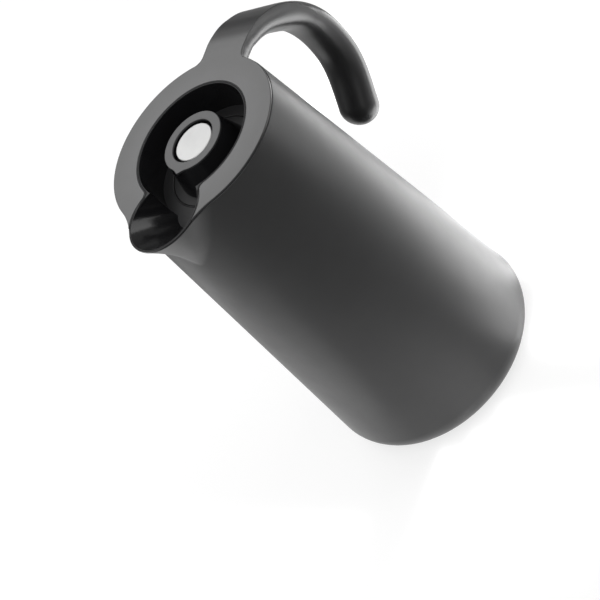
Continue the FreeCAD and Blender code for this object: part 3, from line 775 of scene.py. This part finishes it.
# Stopper: a grey ring with a tab, set on a black skirt that widens downwards round its column
cap_ring = grid_piece("cap_ring", [cap_rows()])
weighted(cap_ring)
made(cap_ring, "stopper", "stopper_cap", "stopper_cap")
skirt_line = rounded([
    (COLUMN_RADIUS, MOAT_FLOOR), (COLUMN_RADIUS, COLUMN_TOP), (CAP_HOLE, COLUMN_TOP),
    (CAP_HOLE, CAP_SPLIT), (CAP_RADIUS - SKIRT_INSET, CAP_SPLIT),
    (SKIRT_FOOT, MOAT_FLOOR + SKIRT_KNEE, SKIRT_BEND), (SKIRT_FOOT, MOAT_FLOOR)])
skirt_rows = lathe_rows(skirt_line, even_turns(SKIRT_TURNS))
cap_skirt = grid_piece("cap_skirt", [(skirt_rows, True, True)])
weighted(cap_skirt)
made(cap_skirt, "stopper", "stopper_body")


def lip_rows():
    """Rounded lip over the collar's rim, as a loop of the section in each direction."""
    rows = []
    for a in around():
        turn = math.pi - abs(a)
        inner = keyhole_reach(turn, MOAT_RADIUS, SPOUT_CENTRE, BOWL_LIP, LIP_CORNER)
        rim = keyhole_reach(
            turn, COLLAR_RADIUS, SPOUT_CENTRE, MOUTH_END_RADIUS - CLEARANCE,
            MOUTH_CORNER + CLEARANCE)
        outer = min(rim, casing_reach(turn, SHELL_TOP, LIP_INSET))
        middle = (inner + outer) / 2
        half = (outer - inner) / 2 + LIP_OVERLAP
        line = [(middle - half, COLLAR_TOP - LIP_FOOT)]
        line += arc(middle, half, COLLAR_TOP - LIP_BASE, LIP_HEIGHT)
        line.append((middle + half, COLLAR_TOP - LIP_FOOT))
        rows.append(spun(line, a))
    return rows, True, True


# Collar: a matt lip over its rim, and the bead on its floor round the stopper
mouth_lip = grid_piece("mouth_lip", [lip_rows()])
weighted(mouth_lip)
made(mouth_lip, "jug", "collar")
bead_arc = arc(BEAD_RADIUS, BEAD_HALF_WIDTH, MOAT_FLOOR, BEAD_HEIGHT)
bead_line = [Vector(p) for p in bead_arc + [
    (BEAD_RADIUS + BEAD_FOOT, MOAT_FLOOR - BEAD_DEPTH),
    (BEAD_RADIUS - BEAD_FOOT, MOAT_FLOOR - BEAD_DEPTH)]]
bead_rows = lathe_rows(bead_line, even_turns(BEAD_TURNS))
floor_bead = grid_piece("floor_bead", [(bead_rows, True, True)])
made(floor_bead, "jug", "collar")

# Push button: pressed sheet with a soft edge
button_line = rounded([
    (BUTTON_HOLE, BUTTON_TOP), (BUTTON_RADIUS, BUTTON_TOP, BUTTON_BEND),
    (BUTTON_RADIUS, BUTTON_FOOT), (BUTTON_INNER, BUTTON_FOOT),
    (BUTTON_INNER, BUTTON_UNDERSIDE, FINE_EDGE), (BUTTON_HOLE, BUTTON_UNDERSIDE)],
    closed=False)
button_rows = lathe_rows(button_line, even_turns(BUTTON_TURNS))
button = grid_piece("button_sheet", [(button_rows, True, False)])
weighted(button)
made(button, "button", "button", "push_button")


def thread_ridge(start):
    """One ridge of the thread on the stopper's plug, fading in and out at its ends."""
    rows = []
    for i in range(THREAD_STEPS + 1):
        share = i / THREAD_STEPS
        angle = start + THREAD_TURN * share
        z = THREAD_START + THREAD_LEAD * THREAD_TURN / (2 * math.pi) * share
        height = THREAD_RISE * min(1, min(share, 1 - share) * THREAD_FADE)
        line = [
            (PLUG_RADIUS - THREAD_SUNK, z - THREAD_FOOT), (PLUG_RADIUS + height, z - THREAD_CREST),
            (PLUG_RADIUS + height, z + THREAD_CREST), (PLUG_RADIUS - THREAD_SUNK, z + THREAD_FOOT)]
        rows.append(spun(line, angle))
    return rows, False, False


ridges = grid_piece("plug_thread", [thread_ridge(a) for a in even_turns(THREAD_COUNT)])
made(ridges, "stopper", "stopper_body")


def refined(node, width):
    """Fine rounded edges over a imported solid, whose own mesh stays as it is."""
    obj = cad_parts[node]
    flat = obj.modifiers.new("planar", "DECIMATE")
    flat.decimate_type = "DISSOLVE"
    flat.angle_limit = PLANAR_ANGLE
    soft = obj.modifiers.new("edges", "BEVEL")
    soft.limit_method = "ANGLE"
    soft.angle_limit = BEVEL_ANGLE
    soft.width = width * MM
    soft.segments = BEVEL_SEGMENTS
    weighted(obj)


for node, width in (
        ("pour_collar", 0.5), ("stopper_body", 0.25), ("base_cover", 0.35), ("foot_ring", 0.3)):
    refined(node, width)

# Materials
CLOUD_SCALE = 35.0
CLOUD_DETAIL = 5.0
SMUDGE_SCALE = 2.7
SMUDGE_DETAIL = 6.0
SMUDGE_ROUGH = 0.6
GRAIN_DETAIL = 3.0
GRAIN_ROUGH = 0.5
GRAIN_DEPTH = 0.00008
COAT_ROUGH = 0.06
RAMP_START = 0.3
RAMP_END = 0.7
# A face counts as level from the first of these heights of its normal, and fully from the second
LEVEL_START = 0.86
LEVEL_END = 0.98
# Painted light on the handle: its colour is lighter up to the first of these distances from the
# vessel axis, in metres, as a painted highlight on the ring, and darker from the second, as painted
# shade on the hook
PAINTED_LIGHT_NEAR = 0.035
PAINTED_LIGHT_FAR = 0.051
PAINTED_HIGHLIGHT_GAIN = 1.35
PAINTED_SHADE_GAIN = 0.75


def nodes_of(name):
    material = bpy.data.materials.new(name)
    material.use_nodes = True
    tree = material.node_tree
    shader = tree.nodes["Principled BSDF"]
    return material, tree, shader


def joined(tree, operation, a, b):
    """A math node's result on a socket and a second socket or number."""
    node = tree.nodes.new("ShaderNodeMath")
    node.operation = operation
    tree.links.new(a, node.inputs[0])
    if isinstance(b, float):
        node.inputs[1].default_value = b
    else:
        tree.links.new(b, node.inputs[1])
    return node.outputs[0]


def length_of(tree, source):
    node = tree.nodes.new("ShaderNodeVectorMath")
    node.operation = "LENGTH"
    tree.links.new(source, node.inputs[0])
    return node.outputs["Value"]


def span(tree, source, low, high, start=0.0, end=1.0, kind="LINEAR"):
    """A value that runs from low to high as its source runs from start to end."""
    node = tree.nodes.new("ShaderNodeMapRange")
    node.interpolation_type = kind
    for name, value in (("From Min", start), ("From Max", end), ("To Min", low), ("To Max", high)):
        node.inputs[name].default_value = value
    tree.links.new(source, node.inputs["Value"])
    return node.outputs["Result"]


def noise(tree, scale, detail, rough=0.55, stretch=None):
    """Noise on the object's own coordinates, in metres."""
    coords = tree.nodes.new("ShaderNodeTexCoord")
    source = coords.outputs["Object"]
    if stretch:
        mapping = tree.nodes.new("ShaderNodeMapping")
        mapping.inputs["Scale"].default_value = stretch
        tree.links.new(source, mapping.inputs["Vector"])
        source = mapping.outputs["Vector"]
    texture = tree.nodes.new("ShaderNodeTexNoise")
    texture.inputs["Scale"].default_value = scale
    texture.inputs["Detail"].default_value = detail
    texture.inputs["Roughness"].default_value = rough
    tree.links.new(source, texture.inputs["Vector"])
    return texture.outputs["Fac"]


def ramp(tree, source, low, high):
    """Colour ramp between two colours."""
    node = tree.nodes.new("ShaderNodeValToRGB")
    elements = node.color_ramp.elements
    elements[0].position = RAMP_START
    elements[1].position = RAMP_END
    elements[0].color = (*low, 1.0)
    elements[1].color = (*high, 1.0)
    tree.links.new(source, node.inputs["Fac"])
    return node.outputs["Color"]


def bump(tree, shader, source, strength):
    node = tree.nodes.new("ShaderNodeBump")
    node.inputs["Strength"].default_value = strength
    node.inputs["Distance"].default_value = GRAIN_DEPTH
    tree.links.new(source, node.inputs["Height"])
    tree.links.new(node.outputs["Normal"], shader.inputs["Normal"])


def level_faces(tree, rough):
    """A roughness for the faces that look straight up, and none for the rest."""
    facing = tree.nodes.new("ShaderNodeNewGeometry")
    axes = tree.nodes.new("ShaderNodeSeparateXYZ")
    tree.links.new(facing.outputs["Normal"], axes.inputs["Vector"])
    return span(tree, axes.outputs["Z"], 0.0, rough, LEVEL_START, LEVEL_END, "SMOOTHSTEP")


def by_radius(tree, near, far, inner, outer):
    """A factor that changes with the distance from the vessel axis."""
    coords = tree.nodes.new("ShaderNodeTexCoord")
    flat = tree.nodes.new("ShaderNodeVectorMath")
    flat.operation = "MULTIPLY"
    flat.inputs[1].default_value = (1.0, 1.0, 0.0)
    tree.links.new(coords.outputs["Object"], flat.inputs[0])
    reach = length_of(tree, flat.outputs["Vector"])
    return span(tree, reach, inner, outer, near, far, "SMOOTHSTEP")


def surface(name, dark, light, rough, grain, bump_strength=0.15, metallic=0.0, coat=0.0,
            stretch=None, specular=0.5, flat_rough=0.0, painted_light=None):
    """A moulded, coated or metal surface: clouded colour, uneven roughness and a fine grain."""
    material, tree, shader = nodes_of(name)
    shader.inputs["Metallic"].default_value = metallic
    shader.inputs["Specular IOR Level"].default_value = specular
    if coat:
        shader.inputs["Coat Weight"].default_value = coat
        shader.inputs["Coat Roughness"].default_value = COAT_ROUGH
    colour = ramp(tree, noise(tree, CLOUD_SCALE, CLOUD_DETAIL), dark, light)
    # Painted light: the colour is scaled up near the vessel axis as a painted highlight and down
    # farther out as painted shade
    if painted_light:
        scaled = tree.nodes.new("ShaderNodeVectorMath")
        scaled.operation = "SCALE"
        tree.links.new(colour, scaled.inputs[0])
        tree.links.new(by_radius(tree, *painted_light), scaled.inputs["Scale"])
        colour = scaled.outputs["Vector"]
    tree.links.new(colour, shader.inputs["Base Color"])
    smudge = noise(tree, CLOUD_SCALE * SMUDGE_SCALE, SMUDGE_DETAIL, SMUDGE_ROUGH)
    uneven = span(tree, smudge, *rough)
    if flat_rough:
        uneven = joined(tree, "MAXIMUM", uneven, level_faces(tree, flat_rough))
    tree.links.new(uneven, shader.inputs["Roughness"])
    bump(tree, shader, noise(tree, grain, GRAIN_DETAIL, GRAIN_ROUGH, stretch), bump_strength)
    return material


# Each with its dark and light colour, its range of roughness and the scale of its grain
casing_paint = surface(
    "casing_paint", (0.016, 0.016, 0.0165), (0.020, 0.020, 0.0205), (0.38, 0.46), 2600.0)
# The handle's plastic carries painted light: a painted highlight on the ring and painted shade on
# the hook, by distance from the axis
handle_plastic = surface(
    "handle_plastic", (0.025, 0.025, 0.026), (0.031, 0.031, 0.032), (0.29, 0.35), 3000.0,
    painted_light=(PAINTED_LIGHT_NEAR, PAINTED_LIGHT_FAR, PAINTED_HIGHLIGHT_GAIN, PAINTED_SHADE_GAIN))
cap_plastic = surface(
    "cap_plastic", (0.028, 0.028, 0.029), (0.034, 0.034, 0.035), (0.36, 0.44), 3000.0)
gloss_black = surface(
    "gloss_black", (0.007, 0.007, 0.0075), (0.010, 0.010, 0.011), (0.16, 0.22), 900.0,
    bump_strength=0.04, specular=0.4, flat_rough=0.6)
satin_black = surface(
    "satin_black", (0.010, 0.010, 0.011), (0.018, 0.018, 0.019), (0.28, 0.38), 1800.0)
button_steel = surface(
    "button_steel", (0.34, 0.34, 0.34), (0.40, 0.40, 0.395), (0.40, 0.48), 5200.0,
    bump_strength=0.1, metallic=1.0, stretch=(1.0, 14.0, 1.0))
bright_steel = surface(
    "bright_steel", (0.50, 0.50, 0.50), (0.60, 0.60, 0.59), (0.22, 0.34), 3000.0, metallic=1.0)
lip_black = surface(
    "lip_black", (0.006, 0.006, 0.0065), (0.008, 0.008, 0.008), (0.7, 0.8), 2400.0,
    specular=0.15)
black_rubber = surface(
    "black_rubber", (0.018, 0.018, 0.018), (0.030, 0.030, 0.029), (0.62, 0.78), 2400.0,
    bump_strength=0.3)
pale_rubber = surface(
    "pale_rubber", (0.52, 0.51, 0.48), (0.60, 0.59, 0.56), (0.45, 0.60), 2000.0)
pad_felt = surface(
    "pad_felt", (0.44, 0.42, 0.38), (0.58, 0.56, 0.52), (0.8, 0.95), 1500.0, bump_strength=0.6)
grey_acetal = surface(
    "grey_acetal", (0.40, 0.40, 0.40), (0.48, 0.48, 0.47), (0.35, 0.45), 1800.0)
silvered_glass = surface(
    "silvered_glass", (0.80, 0.81, 0.82), (0.88, 0.89, 0.90), (0.03, 0.07), 300.0,
    bump_strength=0.03, metallic=1.0, coat=1.0)

finish_of = {
    "outer_shell": casing_paint, "base_cover": satin_black, "foot_ring": black_rubber,
    "flask_cushion": black_rubber, "flask_outer_bottle": silvered_glass,
    "flask_inner_bottle": silvered_glass, "flask_spacers": pad_felt, "neck_gasket": pale_rubber,
    "pour_collar": gloss_black, "handle_frame": handle_plastic, "collar_screws": bright_steel,
    "stopper_cap": cap_plastic, "stopper_body": gloss_black, "flange_gasket": pale_rubber,
    "valve_guide": satin_black, "valve_seat": satin_black, "return_spring": bright_steel,
    "push_button": button_steel, "button_plunger": satin_black, "valve_rod": grey_acetal,
    "valve_disc": satin_black, "valve_seal": pale_rubber, "rod_clip": bright_steel,
}
for node, material in finish_of.items():
    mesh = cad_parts[node].data
    mesh.materials.clear()
    mesh.materials.append(material)
for piece, material in (
        (casing, casing_paint), (ledge, casing_paint), (handle, handle_plastic),
        (button, button_steel), (ridges, gloss_black), (cap_ring, cap_plastic),
        (cap_skirt, gloss_black), (mouth_lip, lip_black), (floor_bead, gloss_black)):
    piece.data.materials.append(material)


def light_path(tree, *kinds):
    """1 for any of the kinds of ray, 0 for all others."""
    path = tree.nodes.new("ShaderNodeLightPath")
    total = path.outputs[kinds[0]]
    for kind in kinds[1:]:
        total = joined(tree, "MAXIMUM", total, path.outputs[kind])
    return total


def mirrored(tree, strength):
    """A strength that only mirrors and clear pieces show."""
    rays = light_path(tree, "Is Glossy Ray", "Is Transmission Ray")
    return joined(tree, "MULTIPLY", rays, strength)


# Floor: pale to the camera, and mirrored brightly close to the vessel only
HALF_FLOOR = 3.0
FLOOR_GREY = 0.36
FLOOR_GLOW = 0.72
POOL_NEAR, POOL_FAR = 0.07, 0.36
POOL_BRIGHT, POOL_DIM = 1.0, 0.06
floor_mesh = bpy.data.meshes.new("floor")
floor_corners = [
    (HALF_FLOOR * x, HALF_FLOOR * y, 0) for x, y in ((-1, -1), (1, -1), (1, 1), (-1, 1))]
floor_mesh.from_pydata(floor_corners, [], [(0, 1, 2, 3)])
floor = link(bpy.data.objects.new("floor", floor_mesh))
floor_material, tree, shader = nodes_of("pale_floor")
shader.inputs["Base Color"].default_value = (FLOOR_GREY, FLOOR_GREY, FLOOR_GREY, 1.0)
shader.inputs["Roughness"].default_value = 0.9
shader.inputs["Specular IOR Level"].default_value = 0.1
shader.inputs["Emission Color"].default_value = (1.0, 1.0, 1.0, 1.0)
coords = tree.nodes.new("ShaderNodeTexCoord")
reach = length_of(tree, coords.outputs["Object"])
pool = span(tree, reach, POOL_BRIGHT, POOL_DIM, POOL_NEAR, POOL_FAR, "SMOOTHSTEP")
seen = joined(tree, "MULTIPLY", light_path(tree, "Is Camera Ray"), FLOOR_GLOW)
glow = joined(tree, "MAXIMUM", seen, mirrored(tree, pool))
tree.links.new(glow, shader.inputs["Emission Strength"])
floor_mesh.materials.append(floor_material)

# World: white to the camera, brighter upwards in mirrors, and a plain fill for the object
WORLD_FILL = 0.42
SKY_LOW, SKY_HIGH = 0.05, 0.65
SKY_DIM, SKY_BRIGHT = 0.08, 1.0
world = bpy.data.worlds.new("studio")
bpy.context.scene.world = world
world.use_nodes = True
tree = world.node_tree
background = tree.nodes["Background"]
background.inputs["Color"].default_value = (1.0, 1.0, 1.0, 1.0)
toward = tree.nodes.new("ShaderNodeTexCoord")
axes = tree.nodes.new("ShaderNodeSeparateXYZ")
tree.links.new(toward.outputs["Generated"], axes.inputs["Vector"])
sky = span(tree, axes.outputs["Z"], SKY_DIM, SKY_BRIGHT, SKY_LOW, SKY_HIGH, "SMOOTHSTEP")
strength = joined(tree, "MAXIMUM", light_path(tree, "Is Camera Ray"), mirrored(tree, sky))
fill = joined(tree, "MULTIPLY", light_path(tree, "Is Diffuse Ray"), WORLD_FILL)
tree.links.new(joined(tree, "MAXIMUM", strength, fill), background.inputs["Strength"])

# Lamps
VESSEL_MIDDLE = (0, 0, 120)
PANEL_HEIGHT = 3
PANEL_RISE = 0.001


def area_lamp(name, azimuth, elevation, distance, size, watts, target=VESSEL_MIDDLE):
    """A lamp that looks at its target from a direction; metres, but for the target."""
    a = math.radians(azimuth)
    e = math.radians(elevation)
    toward = Vector((math.cos(a) * math.cos(e), math.sin(a) * math.cos(e), math.sin(e)))
    lamp = bpy.data.lights.new(name, "AREA")
    lamp.shape = "RECTANGLE"
    lamp.size, lamp.size_y = size
    lamp.energy = watts
    obj = link(bpy.data.objects.new(name, lamp))
    obj.location = Vector(target) * MM + toward * distance
    obj.rotation_mode = "QUATERNION"
    obj.rotation_quaternion = toward.to_track_quat("Z", "Y")
    return obj


area_lamp("key_side", -38, 20, 1.3, (0.9, 0.9), 5)
area_lamp("panel_top", 57.6, 42, 1.3, (0.9, 0.7), 4.15)
area_lamp("fill_front", -150, 55, 1.8, (1.6, 1.6), 9)
# Low panels that lie on the floor round the vessel and look up, unseen by the camera: its
# upright walls mirror the floor, so their long highlight comes from these
for name, size, watts, middle in (
        ("low_panel", (0.254, 0.10), 0.94, (183, -90)),
        ("low_strip", (0.24, 0.05), 0.32, (190, -10)),
        ("low_near", (0.06, 0.05), 0.085, (33, -92)),
        ("low_far", (0.12, 0.14), 0.85, (370, -30)),
        ("low_back", (0.16, 0.14), 0.20, (270, 110)),
        ("low_front", (0.10, 0.08), 0.05, (-85, -95)),
        ("low_left", (0.24, 0.20), 0.32, (-225, 120)),
        ("low_mid_left", (0.26, 0.08), 0.05, (-190, -60)),
        ("low_left_far", (0.26, 0.12), 0.30, (-170, 290)),
        ("low_beak", (0.04, 0.03), 0.013, (-72, -56)),
        ("hook_side", (0.26, 0.36), 2.3, (330, -450))):
    panel = area_lamp(name, 0, 90, PANEL_RISE, size, watts, (*middle, PANEL_HEIGHT))
    panel.visible_camera = False

# Camera at the photograph's viewing angle
right = Vector((0.28381, -0.74784, -0.60016))
up = Vector((0.86283, -0.07386, 0.50006))
back = Vector((-0.41829, -0.65976, 0.62430))
place = Vector((-515.0, -762.2, 837.3)) * MM
camera_data = bpy.data.cameras.new("camera")
camera_data.lens = 132.0
camera_data.sensor_width = 36.0
camera_data.clip_start = 0.05
camera_data.clip_end = 20.0
camera = link(bpy.data.objects.new("camera", camera_data))
camera.matrix_world = Matrix((
    (right.x, up.x, back.x, place.x),
    (right.y, up.y, back.y, place.y),
    (right.z, up.z, back.z, place.z),
    (0, 0, 0, 1),
))
bpy.context.scene.camera = camera
bpy.context.scene.view_settings.view_transform = "Standard"
